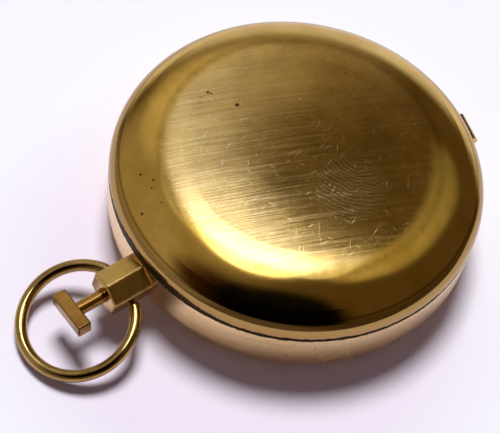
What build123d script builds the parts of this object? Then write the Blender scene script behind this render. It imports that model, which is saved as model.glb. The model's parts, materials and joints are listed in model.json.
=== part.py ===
import math
import os

from build123d import *

# Pocket compass in a hunter case, closed and lying on its flat back.
# Millimetres. The origin is the centre of the back, +Z is up through the lid,
# +Y points at the pendant, and the lid hinge is on the far side, a little round towards -X.

# Case body: one turned brass cup
case_radius = 25.0
wall = 1.0
floor = 1.6
lower_edge_radius = 3.8
inner_corner_radius = 0.9
seam_half_gap = 0.05
edge_break = 0.2

# Lid: pressed dome whose side rounds over ever more tightly from the crown to the rim
lid_wall = 0.9
lid_mouth_wall = 1.1
rim_straight = 0.3
rim_radius = 2.6
haunch_radius = 8.15
shoulder_radius = 18.4
rim_slope = 90.0
rim_inner_slope = 70.0
haunch_slope = 42.0
shoulder_slope = 28.5
crown_slope = 4.9

# Hinge: three knuckles on one pin, let into the seam
hinge_turn = -15.6
hinge_inset = 0.08
knuckle_radius = 0.9
knuckle_relief = 0.15
knuckle_gap = 0.1
barrel_length = 4.3
lid_knuckle_share = 0.4
hinge_pin_radius = 0.4
hinge_running_clearance = 0.03
hinge_pin_stand_out = 0.12

# Pendant: hexagonal bar with a tenon in the case wall
stem_height_share = 0.652
hex_corner_radius = 2.95
hex_sides = 6
hex_turn = 18.9
pendant_length = 5.67
pendant_chamfer = 0.2
tenon_radius = 1.7
stem_clearance = 0.05

# Plunger: rod, cross bar outside, stop collar inside
rod_radius = 0.9
rod_show = 3.73
rod_seat_depth = 1.2
bar_thickness = 1.9
bar_length = 6.2
bar_turn = 5.0
bar_chamfer = 0.15
collar_radius = 1.3
collar_wall_gap = 0.06
rod_spring_gap = 0.03

# Bow: round wire ring on two turned-down ends
bow_wire_radius = 0.81
bow_ring_radius = 7.46
bow_corner_radius = 1.2
bow_side_gap = 0.2
bow_pivot_reach = 2.97
bow_pivot_drop = 0.92
bow_table_gap = 0.36
trunnion_radius = 0.55
trunnion_clearance = 0.05
trunnion_web = 0.25
trunnion_end_gap = 0.05

# Chamber: ring with a dial seat, glass and bezel
chamber_wall = 0.9
dial_seat_width = 1.9
dial_thickness = 0.4
dial_edge_gap = 0.05
dial_hole_radius = 1.6
glass_gap = 0.7
glass_thickness = 1.0
glass_inset = 0.2
bezel_lip = 0.6
bezel_lip_overlap = 1.0
bezel_skirt = 0.8
bezel_skirt_drop = 1.0
bezel_edge_gap = 0.7
bezel_flange_drop = 0.1
bezel_edge_break = 0.2
lid_gap = 0.4

# Screws: one small size for the dial, one larger size for the springs
dial_screw_count = 3
dial_screw_inset = 1.0
dial_screw_head_radius = 0.65
dial_screw_head = 0.4
dial_screw_shank_radius = 0.35
dial_screw_depth = 1.0
dial_screw_start = 30.0
spring_screw_head_radius = 0.9
spring_screw_head = 0.6
spring_screw_shank_radius = 0.45
spring_screw_depth = 0.6
screw_slot_width = 0.25
screw_slot_depth = 0.2

# Case springs: upright strips that bend in the space outside the chamber
spring_wall_gap = 1.7
spring_thickness = 0.4
spring_half_height = 1.5
spring_bend_room = 2.5
spring_foot = 0.5
spring_foot_half = 0.95
catch_root_angle = 35.0
catch_tip_angle = 90.0
lift_root_angle = -25.6
lift_tip_angle = -81.6
finger_half_width = 1.4
finger_slot_gap = 0.9
finger_slot_room = 0.3
hook_length = 0.85
hook_gap = 0.05
hook_thickness = 0.3
keeper_gap = 0.3
keeper_lift = 0.1
keeper_thickness = 0.35
keeper_half_width = 2.0
lift_tip_length = 1.12
lift_tip_height = 0.4

# Needle on its pivot, with the lever that lifts it when the lid is shut
post_radius = 0.6
post_foot_radius = 0.72
post_foot = 0.3
post_rise = 0.4
pivot_radius = 0.3
pivot_cone = 0.6
pivot_tip_radius = 0.05
pivot_seat_depth = 1.0
needle_lift = 0.3
hub_gap = 0.75
hub_shoulder = 0.45
hub_shoulder_radius = 1.5
hub_neck_radius = 1.0
hub_cap = 0.35
hub_cap_radius = 1.3
hub_dome = 0.45
hub_top_radius = 0.7
hub_roof = 0.3
hub_bore_radius = 0.55
jewel_thickness = 0.35
jewel_cone_radius = 0.35
jewel_cone_height = 0.25
blade_thickness = 0.3
blade_end_gap = 2.1
blade_half_width = 1.75
blade_tip_half_width = 0.12
blade_waist_radius = 1.95
lever_drop_room = 1.2
lever_rise_room = 0.5
lever_thickness = 0.5
lever_half_width = 0.8
lever_eye_radius = 1.7
lever_tube_outer_radius = 1.2
lever_tube_inner_radius = 0.8
fulcrum_inset = 7.5
fulcrum_boss_radius = 0.55
fulcrum_pin_radius = 0.25
fulcrum_clearance = 0.03
bridge_cheek = 0.6
bridge_cheek_gap = 0.1
bridge_length = 2.2
bridge_rise = 0.6
lifter_pin_inset = 0.9
lifter_pin_radius = 0.45
lifter_pin_round = 0.33
lifter_pin_rise = 1.2
lifter_rivet_radius = 0.33
lifter_slot_gap = 0.12
lifter_slot_lean = 0.45
lever_window_gap = 0.6

# Heights, built up from the floor of the case to the seam
lever_bottom = floor + lever_drop_room
lever_top = lever_bottom + lever_thickness
lever_axis_height = lever_bottom + lever_thickness / 2
bridge_height = lever_axis_height + bridge_rise
dial_seat_height = lever_top + lever_rise_room
dial_top = dial_seat_height + dial_thickness
post_top = dial_top + post_rise
hub_bottom = dial_top + hub_gap
blade_bottom = hub_bottom + hub_shoulder
blade_top = blade_bottom + blade_thickness
hub_cap_top = blade_top + hub_cap
hub_top = hub_cap_top + hub_dome
hub_bore_top = hub_top - hub_roof
jewel_bottom = hub_bore_top - jewel_thickness
pivot_tip = jewel_bottom + jewel_cone_height - needle_lift
pivot_cone_start = pivot_tip - pivot_cone
glass_height = hub_top + glass_gap
glass_top = glass_height + glass_thickness
bezel_skirt_height = glass_height - bezel_skirt_drop
bezel_flange_bottom = glass_top + bezel_flange_drop
bezel_top = glass_top + bezel_lip
seam_height = bezel_top + lid_gap
stem_height = seam_height * stem_height_share
bow_pivot_height = stem_height - bow_pivot_drop
spring_bottom = stem_height - spring_half_height
spring_top = stem_height + spring_half_height
keeper_bottom = seam_height + keeper_lift
keeper_top = keeper_bottom + keeper_thickness
hook_bottom = keeper_top + hook_gap
hook_top = hook_bottom + hook_thickness
lift_tip_bottom = hook_top - lift_tip_height
lifter_pin_top = seam_height + lifter_pin_rise

# Radii, from the case inwards
inner_radius = case_radius - wall
lid_mouth_radius = case_radius - lid_mouth_wall
hinge_offset = case_radius - hinge_inset
bezel_flange_radius = inner_radius - bezel_edge_gap
lifter_pin_offset = bezel_flange_radius - lifter_pin_inset
spring_radius = inner_radius - spring_wall_gap
spring_inner_radius = spring_radius - spring_thickness
spring_mean_radius = spring_radius - spring_thickness / 2
hook_reach = spring_radius + hook_length
keeper_inner = spring_radius + keeper_gap
lift_tip_reach = spring_radius + lift_tip_length
chamber_outer_radius = spring_inner_radius - spring_bend_room
chamber_inner_radius = chamber_outer_radius - chamber_wall
bezel_skirt_radius = chamber_outer_radius + bezel_skirt
finger_slot_inner = bezel_skirt_radius + finger_slot_room
glass_radius = chamber_outer_radius - glass_inset
bezel_lip_radius = glass_radius - bezel_lip_overlap
dial_seat_radius = chamber_inner_radius - dial_seat_width
dial_screw_offset = chamber_inner_radius - dial_screw_inset
blade_length = chamber_inner_radius - blade_end_gap
fulcrum_offset = chamber_inner_radius - fulcrum_inset

# Reach of the fittings along +Y, and of the bow's ends along X
pendant_end = case_radius + pendant_length
bar_reach = pendant_end + rod_show
rod_start = spring_radius + rod_spring_gap
bow_pivot_offset = case_radius + bow_pivot_reach
stem_bore_radius = rod_radius + stem_clearance
trunnion_inner_half = stem_bore_radius + trunnion_web
hex_half_width = hex_corner_radius * math.cos(math.radians(hex_turn))
bow_straight_half = hex_half_width + bow_side_gap

lower_middle_slope = 135.0
standing = (Align.CENTER, Align.CENTER, Align.MIN)


def disc(radius, bottom, top):
    return Pos(0, 0, bottom) * Cylinder(radius, top - bottom, align=standing)


def tube(outer, inner, bottom, top):
    return disc(outer, bottom, top) - disc(inner, bottom, top)


def rod_along_x(radius, start, end, y, z):
    return Pos(start, y, z) * Rot(0, 90, 0) * Cylinder(radius, end - start, align=standing)


def rod_along_y(radius, start, end, z):
    return Pos(0, start, z) * Rot(-90, 0, 0) * Cylinder(radius, end - start, align=standing)


def block(x_low, x_high, y_low, y_high, z_low, z_high):
    corner = (Align.MIN, Align.MIN, Align.MIN)
    size = Box(x_high - x_low, y_high - y_low, z_high - z_low, align=corner)
    return Pos(x_low, y_low, z_low) * size


def turned(*edges):
    """Solid of revolution about Z from profile edges drawn as (radius, height)."""
    return revolve(Plane.XZ * make_face(Curve() + list(edges)), Axis.Z)


def turned_outline(*points):
    """Solid of revolution about Z from a straight-sided (radius, height) outline."""
    return turned(Polyline(*points, close=True))


def sector(inner, outer, bottom, top, start_angle, end_angle):
    """Piece of a ring between two angles, counted from +X towards +Y."""
    low = math.radians(min(start_angle, end_angle))
    high = math.radians(max(start_angle, end_angle))
    middle = (low + high) / 2
    spots = [(math.cos(a), math.sin(a)) for a in (low, middle, high)]
    outer_spots = [(outer * x, outer * y) for x, y in spots]
    inner_spots = [(inner * x, inner * y) for x, y in spots]
    edges = [
        ThreePointArc(*outer_spots),
        Line(outer_spots[-1], inner_spots[-1]),
        ThreePointArc(*inner_spots),
        Line(inner_spots[0], outer_spots[0]),
    ]
    return Pos(0, 0, bottom) * extrude(make_face(Curve() + edges), top - bottom)


def arc_degrees(length, radius):
    return math.degrees(length / radius)


def on_circle(centre, radius, slope):
    """Point of a circle whose tangent falls away from level by the given slope."""
    angle = math.radians(slope)
    return (centre[0] + radius * math.sin(angle), centre[1] + radius * math.cos(angle))


def arc_by_slope(centre, radius, start, end):
    slopes = (start, (start + end) / 2, end)
    return ThreePointArc(*[on_circle(centre, radius, slope) for slope in slopes])


def hinge_cylinder(radius, start, end):
    return Rot(0, 0, hinge_turn) * rod_along_x(radius, start, end, -hinge_offset, seam_height)


def hinge_stations():
    half = barrel_length / 2
    middle = half * lid_knuckle_share
    return half, middle


def hinge_room(own_is_middle):
    """Trough for the hinge barrel: tight round the piece's own knuckles, free round the others."""
    half, middle = hinge_stations()
    free = knuckle_radius + knuckle_relief
    middle_radius = knuckle_radius if own_is_middle else free
    outer_radius = free if own_is_middle else knuckle_radius
    centre = hinge_cylinder(middle_radius, -middle, middle)
    left = hinge_cylinder(outer_radius, -half - knuckle_gap, -middle)
    right = hinge_cylinder(outer_radius, middle, half + knuckle_gap)
    return centre + left + right


def make_case_body():
    top = seam_height - seam_half_gap
    edge_centre = (case_radius - lower_edge_radius, lower_edge_radius)
    edge_middle = on_circle(edge_centre, lower_edge_radius, lower_middle_slope)
    corner_centre = (inner_radius - inner_corner_radius, floor + inner_corner_radius)
    corner_middle = on_circle(corner_centre, inner_corner_radius, lower_middle_slope)
    cup = turned(
        Line((0, 0), (edge_centre[0], 0)),
        ThreePointArc((edge_centre[0], 0), edge_middle, (case_radius, lower_edge_radius)),
        Polyline(
            (case_radius, lower_edge_radius),
            (case_radius, top - edge_break),
            (case_radius - edge_break, top),
            (inner_radius, top),
            (inner_radius, corner_centre[1]),
        ),
        ThreePointArc((inner_radius, corner_centre[1]), corner_middle, (corner_centre[0], floor)),
        Polyline((corner_centre[0], floor), (0, floor), (0, 0)),
    )
    cup -= hinge_room(own_is_middle=False)
    cup -= rod_along_y(tenon_radius, inner_radius - wall, case_radius + wall, stem_height)
    for angle in (catch_root_angle, lift_root_angle):
        hole = disc(spring_screw_shank_radius, floor - spring_screw_depth, floor)
        cup -= Rot(0, 0, angle) * Pos(spring_mean_radius, 0, 0) * hole
    return cup


def lid_arcs(inset, start_slope):
    """Four arcs, each tangent to the next, from the rim up to the apex, set in from the outer face."""
    rim_centre = (case_radius - rim_radius, seam_height + rim_straight)
    haunch_centre = on_circle(rim_centre, rim_radius - haunch_radius, haunch_slope)
    shoulder_centre = on_circle(haunch_centre, haunch_radius - shoulder_radius, shoulder_slope)
    crown_reach = on_circle(shoulder_centre, shoulder_radius, crown_slope)[0]
    crown_radius = crown_reach / math.sin(math.radians(crown_slope))
    crown_centre = on_circle(shoulder_centre, shoulder_radius - crown_radius, crown_slope)
    return [
        arc_by_slope(rim_centre, rim_radius - inset, start_slope, haunch_slope),
        arc_by_slope(haunch_centre, haunch_radius - inset, haunch_slope, shoulder_slope),
        arc_by_slope(shoulder_centre, shoulder_radius - inset, shoulder_slope, crown_slope),
        arc_by_slope(crown_centre, crown_radius - inset, crown_slope, 0),
    ]


def make_lid():
    mouth = seam_height + seam_half_gap
    outer = lid_arcs(0, rim_slope)
    inner = lid_arcs(lid_wall, rim_inner_slope)
    shell = turned(
        Polyline(
            inner[0] @ 0,
            (lid_mouth_radius, keeper_top),
            (lid_mouth_radius, mouth),
            (case_radius - edge_break, mouth),
            (case_radius, mouth + edge_break),
            outer[0] @ 0,
        ),
        *outer,
        Line(outer[-1] @ 1, inner[-1] @ 1),
        *inner,
    )
    return shell - hinge_room(own_is_middle=True)


def make_body_knuckles():
    half, middle = hinge_stations()
    knuckles = []
    for start, end in ((-half, -middle - knuckle_gap), (middle + knuckle_gap, half)):
        barrel = hinge_cylinder(knuckle_radius, start, end)
        knuckles.append(barrel - hinge_cylinder(hinge_pin_radius, start, end))
    return Compound(children=knuckles)


def make_lid_knuckle():
    half, middle = hinge_stations()
    barrel = hinge_cylinder(knuckle_radius, -middle, middle)
    return barrel - hinge_cylinder(hinge_pin_radius + hinge_running_clearance, -middle, middle)


def make_hinge_pin():
    end = barrel_length / 2 + hinge_pin_stand_out
    pin = hinge_cylinder(hinge_pin_radius, -end, end)
    return chamfer(pin.edges().filter_by(GeomType.CIRCLE), hinge_pin_stand_out)


def make_pendant():
    start = case_radius - wall
    outline = RegularPolygon(hex_corner_radius, hex_sides, rotation=hex_turn)
    bar = extrude(outline, pendant_end - start)
    bar = chamfer(bar.faces().sort_by(Axis.Z)[-1].edges(), pendant_chamfer)
    bar = Pos(0, start, stem_height) * Rot(-90, 0, 0) * bar
    bar -= disc(case_radius, 0, seam_height)
    bar += rod_along_y(tenon_radius, inner_radius, case_radius + pendant_chamfer, stem_height)
    bar -= rod_along_y(stem_bore_radius, inner_radius - wall, pendant_end, stem_height)
    hole_radius = trunnion_radius + trunnion_clearance
    deep = trunnion_inner_half - trunnion_end_gap
    far = hex_corner_radius + wall
    bar -= rod_along_x(hole_radius, deep, far, bow_pivot_offset, bow_pivot_height)
    bar -= rod_along_x(hole_radius, -far, -deep, bow_pivot_offset, bow_pivot_height)
    return bar


def make_plunger_rod():
    return rod_along_y(rod_radius, rod_start, bar_reach + rod_seat_depth, stem_height)


def make_plunger_bar():
    half = bar_thickness / 2
    bar = block(
        -bar_length / 2, bar_length / 2,
        bar_reach, bar_reach + bar_thickness,
        -half, half,
    )
    bar = Pos(0, 0, stem_height) * Rot(0, bar_turn, 0) * chamfer(bar.edges(), bar_chamfer)
    return bar - rod_along_y(rod_radius, bar_reach, bar_reach + rod_seat_depth, stem_height)


def make_plunger_collar():
    end = inner_radius - collar_wall_gap
    collar = rod_along_y(collar_radius, rod_start, end, stem_height)
    return collar - rod_along_y(rod_radius, rod_start, end, stem_height)


def make_bow_ring():
    """Wire ring whose two ends turn in along the pivot line, let down to just above the table."""
    corner_x = bow_straight_half
    run = bow_ring_radius - bow_corner_radius
    turn = math.asin(corner_x / run)
    centre_reach = bow_corner_radius + run * math.cos(turn)
    join = (bow_ring_radius * math.sin(turn), centre_reach - bow_ring_radius * math.cos(turn))
    corner_middle = (
        corner_x + bow_corner_radius * math.sin(turn / 2),
        bow_corner_radius * (1 - math.cos(turn / 2)),
    )
    path = Curve() + [
        ThreePointArc((corner_x, 0), corner_middle, join),
        ThreePointArc(join, (0, centre_reach + bow_ring_radius), (-join[0], join[1])),
        ThreePointArc((-join[0], join[1]), (-corner_middle[0], corner_middle[1]), (-corner_x, 0)),
    ]
    section = Plane(origin=(corner_x, 0, 0), z_dir=(1, 0, 0)) * Circle(bow_wire_radius)
    wire = sweep(section, path=path)
    for side in (1, -1):
        trunnion = Rot(0, 90, 0) * Cylinder(
            trunnion_radius, corner_x - trunnion_inner_half, align=standing
        )
        wire += Rot(0, 0, 0 if side > 0 else 180) * Pos(trunnion_inner_half, 0, 0) * trunnion
    fall = bow_pivot_height - bow_wire_radius - bow_table_gap
    droop = math.degrees(math.asin(fall / (centre_reach + bow_ring_radius)))
    return Pos(0, bow_pivot_offset, bow_pivot_height) * Rot(-droop, 0, 0) * wire


def lever_window():
    reach = chamber_outer_radius + wall
    half = lever_half_width + lever_window_gap
    return block(
        -reach, -dial_seat_radius + wall,
        -half, half,
        floor, dial_seat_height,
    )


def dial_screw_spots():
    return PolarLocations(dial_screw_offset, dial_screw_count, dial_screw_start)


def make_chamber_ring():
    ring = turned_outline(
        (dial_seat_radius, floor),
        (chamber_outer_radius, floor),
        (chamber_outer_radius, glass_height),
        (chamber_inner_radius, glass_height),
        (chamber_inner_radius, dial_seat_height),
        (dial_seat_radius, dial_seat_height),
    )
    ring -= lever_window()
    for spot in dial_screw_spots():
        hole = disc(dial_screw_shank_radius, dial_seat_height - dial_screw_depth, dial_seat_height)
        ring -= spot * hole
    return ring


def make_dial_plate():
    plate = disc(chamber_inner_radius - dial_edge_gap, dial_seat_height, dial_top)
    plate -= disc(dial_hole_radius, dial_seat_height, dial_top)
    for spot in dial_screw_spots():
        plate -= spot * disc(dial_screw_shank_radius, dial_seat_height, dial_top)
    return plate


def screw(head_radius, head, shank_radius, depth, seat):
    body = disc(shank_radius, seat - depth, seat) + disc(head_radius, seat, seat + head)
    slot = block(
        -head_radius, head_radius,
        -screw_slot_width / 2, screw_slot_width / 2,
        seat + head - screw_slot_depth, seat + head,
    )
    return body - slot


def make_dial_screws():
    depth = dial_screw_depth + dial_thickness
    one = screw(dial_screw_head_radius, dial_screw_head, dial_screw_shank_radius, depth, dial_top)
    return Compound(children=[spot * one for spot in dial_screw_spots()])


def make_spring_screws():
    seat = floor + spring_foot
    depth = spring_foot + spring_screw_depth
    one = screw(spring_screw_head_radius, spring_screw_head, spring_screw_shank_radius, depth, seat)
    angles = (catch_root_angle, lift_root_angle)
    return Compound(children=[Rot(0, 0, a) * Pos(spring_mean_radius, 0, 0) * one for a in angles])


def make_glass():
    return disc(glass_radius, glass_height, glass_top)


def finger_slot(angle):
    reach = arc_degrees(finger_half_width + finger_slot_gap, spring_mean_radius)
    return sector(
        finger_slot_inner, bezel_flange_radius + wall,
        bezel_flange_bottom, bezel_top, angle - reach, angle + reach,
    )


def lifter_slot():
    half = lifter_pin_radius + lifter_slot_gap
    return block(
        -lifter_pin_offset - half, -lifter_pin_offset + half + lifter_slot_lean,
        -half, half,
        bezel_flange_bottom, bezel_top,
    )


def make_bezel():
    ring = turned_outline(
        (bezel_lip_radius, glass_top),
        (chamber_outer_radius, glass_top),
        (chamber_outer_radius, bezel_skirt_height),
        (bezel_skirt_radius, bezel_skirt_height),
        (bezel_skirt_radius, bezel_flange_bottom),
        (bezel_flange_radius, bezel_flange_bottom),
        (bezel_flange_radius, bezel_top - bezel_edge_break),
        (bezel_flange_radius - bezel_edge_break, bezel_top),
        (bezel_lip_radius + bezel_lip / 2, bezel_top),
    )
    ring -= finger_slot(catch_tip_angle)
    ring -= finger_slot(lift_tip_angle)
    return ring - lifter_slot()


def spring_strip(root_angle, tip_angle, finger_top):
    """Upright strip from a foot under the screw to a finger that rises through the bezel."""
    foot = arc_degrees(spring_foot_half, spring_mean_radius)
    finger = arc_degrees(finger_half_width, spring_mean_radius)
    turn = math.copysign(1, tip_angle - root_angle)
    foot_end = root_angle + turn * foot
    strip = sector(
        spring_inner_radius, spring_radius, spring_bottom, spring_top,
        foot_end, tip_angle + turn * finger,
    )
    rise_end = root_angle + turn * (foot + finger)
    strip += sector(spring_inner_radius, spring_radius, floor, spring_top, foot_end, rise_end)
    strip += sector(
        spring_mean_radius - spring_foot_half, spring_mean_radius + spring_foot_half,
        floor, floor + spring_foot, root_angle - foot, root_angle + foot,
    )
    strip += sector(
        spring_inner_radius, spring_radius, floor, floor + spring_foot, foot_end - turn * foot, rise_end,
    )
    strip += sector(
        spring_inner_radius, spring_radius, spring_bottom, finger_top,
        tip_angle - finger, tip_angle + finger,
    )
    hole = disc(spring_screw_shank_radius, floor, floor + spring_foot)
    return strip - Rot(0, 0, root_angle) * Pos(spring_mean_radius, 0, 0) * hole


def make_catch_spring():
    finger = arc_degrees(finger_half_width, spring_mean_radius)
    strip = spring_strip(catch_root_angle, catch_tip_angle, hook_top)
    return strip + sector(
        spring_inner_radius, hook_reach, hook_bottom, hook_top,
        catch_tip_angle - finger, catch_tip_angle + finger,
    )


def make_lift_spring():
    finger = arc_degrees(finger_half_width, spring_mean_radius)
    strip = spring_strip(lift_root_angle, lift_tip_angle, hook_top)
    return strip + sector(
        spring_inner_radius, lift_tip_reach, lift_tip_bottom, hook_top,
        lift_tip_angle - finger, lift_tip_angle + finger,
    )


def make_catch_keeper():
    reach = arc_degrees(keeper_half_width, lid_mouth_radius)
    return sector(
        keeper_inner, lid_mouth_radius, keeper_bottom, keeper_top,
        catch_tip_angle - reach, catch_tip_angle + reach,
    )


def make_pivot_post():
    post = disc(post_radius, floor, post_top) + disc(post_foot_radius, floor, floor + post_foot)
    return post - disc(pivot_radius, post_top - pivot_seat_depth, post_top)


def make_pivot_pin():
    start = post_top - pivot_seat_depth
    return turned_outline(
        (0, start),
        (pivot_radius, start),
        (pivot_radius, pivot_cone_start),
        (pivot_tip_radius, pivot_tip),
        (0, pivot_tip),
    )


def make_needle_hub():
    return turned_outline(
        (hub_bore_radius, hub_bottom),
        (hub_shoulder_radius, hub_bottom),
        (hub_shoulder_radius, blade_bottom),
        (hub_neck_radius, blade_bottom),
        (hub_neck_radius, blade_top),
        (hub_cap_radius, blade_top),
        (hub_cap_radius, hub_cap_top),
        (hub_top_radius, hub_top),
        (0, hub_top),
        (0, hub_bore_top),
        (hub_bore_radius, hub_bore_top),
    )


def make_needle_jewel():
    return turned_outline(
        (jewel_cone_radius, jewel_bottom),
        (hub_bore_radius, jewel_bottom),
        (hub_bore_radius, hub_bore_top),
        (0, hub_bore_top),
        (0, jewel_bottom + jewel_cone_height),
    )


def make_needle_blade():
    outline = Polyline(
        (blade_tip_half_width, blade_length),
        (blade_half_width, 0),
        (blade_tip_half_width, -blade_length),
        (-blade_tip_half_width, -blade_length),
        (-blade_half_width, 0),
        (-blade_tip_half_width, blade_length),
        close=True,
    )
    blade = Pos(0, 0, blade_bottom) * extrude(make_face(outline), blade_top - blade_bottom)
    blade += disc(blade_waist_radius, blade_bottom, blade_top)
    return blade - disc(hub_neck_radius, blade_bottom, blade_top)


def make_lifter_lever():
    """Rocking strip: an eye with a lifting tube round the post, and a tail under the push pin."""
    tail = lifter_pin_offset + lever_half_width
    lever = block(
        -tail, -post_radius,
        -lever_half_width, lever_half_width, lever_bottom, lever_top,
    )
    lever += disc(lever_eye_radius, lever_bottom, lever_top)
    lever += disc(lever_tube_outer_radius, lever_top, hub_bottom)
    lever -= disc(lever_tube_inner_radius, lever_bottom, hub_bottom)
    boss = rod_along_y(fulcrum_boss_radius, -lever_half_width, lever_half_width, lever_axis_height)
    lever += Pos(-fulcrum_offset, 0, 0) * boss
    bore = rod_along_y(
        fulcrum_pin_radius + fulcrum_clearance, -lever_half_width, lever_half_width, lever_axis_height
    )
    lever -= Pos(-fulcrum_offset, 0, 0) * bore
    hole = disc(lifter_rivet_radius, lever_bottom, lever_top)
    return lever - Pos(-lifter_pin_offset, 0, 0) * hole


def make_lifter_pin():
    pin = disc(lifter_pin_radius, lever_top, lifter_pin_top)
    pin = fillet(pin.edges().sort_by(Axis.Z)[-1], lifter_pin_round)
    pin += disc(lifter_rivet_radius, lever_bottom, lever_top)
    return Pos(-lifter_pin_offset, 0, 0) * pin


def bridge_reach():
    return lever_half_width + bridge_cheek_gap


def make_lifter_bridge():
    near = bridge_reach()
    half = bridge_length / 2
    cheeks = []
    for low, high in ((near, near + bridge_cheek), (-near - bridge_cheek, -near)):
        cheek = block(-half, half, low, high, floor, bridge_height)
        cheek -= rod_along_y(fulcrum_pin_radius, low, high, lever_axis_height)
        cheeks.append(Pos(-fulcrum_offset, 0, 0) * cheek)
    return Compound(children=cheeks)


def make_lifter_axle():
    reach = bridge_reach() + bridge_cheek
    axle = rod_along_y(fulcrum_pin_radius, -reach, reach, lever_axis_height)
    return Pos(-fulcrum_offset, 0, 0) * axle


pieces = {
    "case_body": make_case_body,
    "pendant": make_pendant,
    "body_knuckles": make_body_knuckles,
    "hinge_pin": make_hinge_pin,
    "chamber_ring": make_chamber_ring,
    "dial_plate": make_dial_plate,
    "dial_screws": make_dial_screws,
    "pivot_post": make_pivot_post,
    "pivot_pin": make_pivot_pin,
    "glass": make_glass,
    "bezel": make_bezel,
    "spring_screws": make_spring_screws,
    "lifter_bridge": make_lifter_bridge,
    "lifter_axle": make_lifter_axle,
    "lid": make_lid,
    "lid_knuckle": make_lid_knuckle,
    "catch_keeper": make_catch_keeper,
    "plunger_rod": make_plunger_rod,
    "plunger_bar": make_plunger_bar,
    "plunger_collar": make_plunger_collar,
    "bow_ring": make_bow_ring,
    "needle_blade": make_needle_blade,
    "needle_hub": make_needle_hub,
    "needle_jewel": make_needle_jewel,
    "lifter_lever": make_lifter_lever,
    "lifter_pin": make_lifter_pin,
    "catch_spring": make_catch_spring,
    "lift_spring": make_lift_spring,
}

os.makedirs("parts", exist_ok=True)
for name, make in pieces.items():
    export_step(make(), f"parts/{name}.step")
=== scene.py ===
import json
import math

import bpy
import numpy as np
from mathutils import Matrix, Vector

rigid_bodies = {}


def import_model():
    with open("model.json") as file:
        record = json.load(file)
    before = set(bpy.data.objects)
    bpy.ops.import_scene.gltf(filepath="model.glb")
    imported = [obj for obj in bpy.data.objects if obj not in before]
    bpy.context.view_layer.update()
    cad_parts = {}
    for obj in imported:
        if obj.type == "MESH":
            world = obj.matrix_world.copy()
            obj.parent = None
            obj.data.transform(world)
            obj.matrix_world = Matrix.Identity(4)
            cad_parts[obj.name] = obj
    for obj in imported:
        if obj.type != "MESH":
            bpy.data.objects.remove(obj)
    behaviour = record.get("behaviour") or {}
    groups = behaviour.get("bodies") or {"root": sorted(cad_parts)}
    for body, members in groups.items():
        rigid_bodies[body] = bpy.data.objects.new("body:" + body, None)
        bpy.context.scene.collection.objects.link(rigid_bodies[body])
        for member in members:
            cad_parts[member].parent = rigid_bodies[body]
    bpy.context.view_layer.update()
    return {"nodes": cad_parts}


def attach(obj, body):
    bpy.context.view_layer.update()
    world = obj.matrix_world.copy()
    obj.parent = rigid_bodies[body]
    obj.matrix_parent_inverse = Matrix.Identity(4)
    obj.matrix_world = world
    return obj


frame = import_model()
nodes = frame["nodes"]
scene = bpy.context.scene

# Case body: a cup turned from brass, with a straight wall and a rounded lower edge.
# It was buffed on a wheel. Its soft pale gold is partly painted light: the tone is raised so that the wall looks
# as bright as the lit table it mirrors. Handling has left a cloudy bloom and hairlines that run round the wall,
# and a black line of painted shade runs along the seam under the lid.
mm = 0.001
seam_height = 9.2 * mm
seam_shade_reach = 0.5 * mm


def srgb(code):
    """Turns a six-figure sRGB hex colour into linear RGBA, by the sRGB curve."""
    channels = np.array([int(code[i : i + 2], 16) for i in (0, 2, 4)]) / 255
    linear = np.where(channels <= 0.04045, channels / 12.92, ((channels + 0.055) / 1.055) ** 2.4)
    return (*linear.tolist(), 1.0)


def add(tree, kind, inputs=None, **settings):
    """Adds one node: settings are its own properties, inputs are socket values or sockets to link from."""
    node = tree.nodes.new(kind)
    for name, value in settings.items():
        setattr(node, name, value)
    for name, value in (inputs or {}).items():
        if isinstance(value, bpy.types.NodeSocket):
            tree.links.new(value, node.inputs[name])
        else:
            node.inputs[name].default_value = value
    return node


def open_material(name):
    """Starts a node material: gives it, its tree, its shader and the piece's own coordinates in metres."""
    material = bpy.data.materials.new(name)
    material.use_nodes = True
    tree = material.node_tree
    place = add(tree, "ShaderNodeTexCoord").outputs["Object"]
    return material, tree, tree.nodes["Principled BSDF"], place


def dress(material, *names):
    """Puts a material into every material slot of the named pieces."""
    for name in names:
        for slot in nodes[name].material_slots:
            slot.material = material


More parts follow.
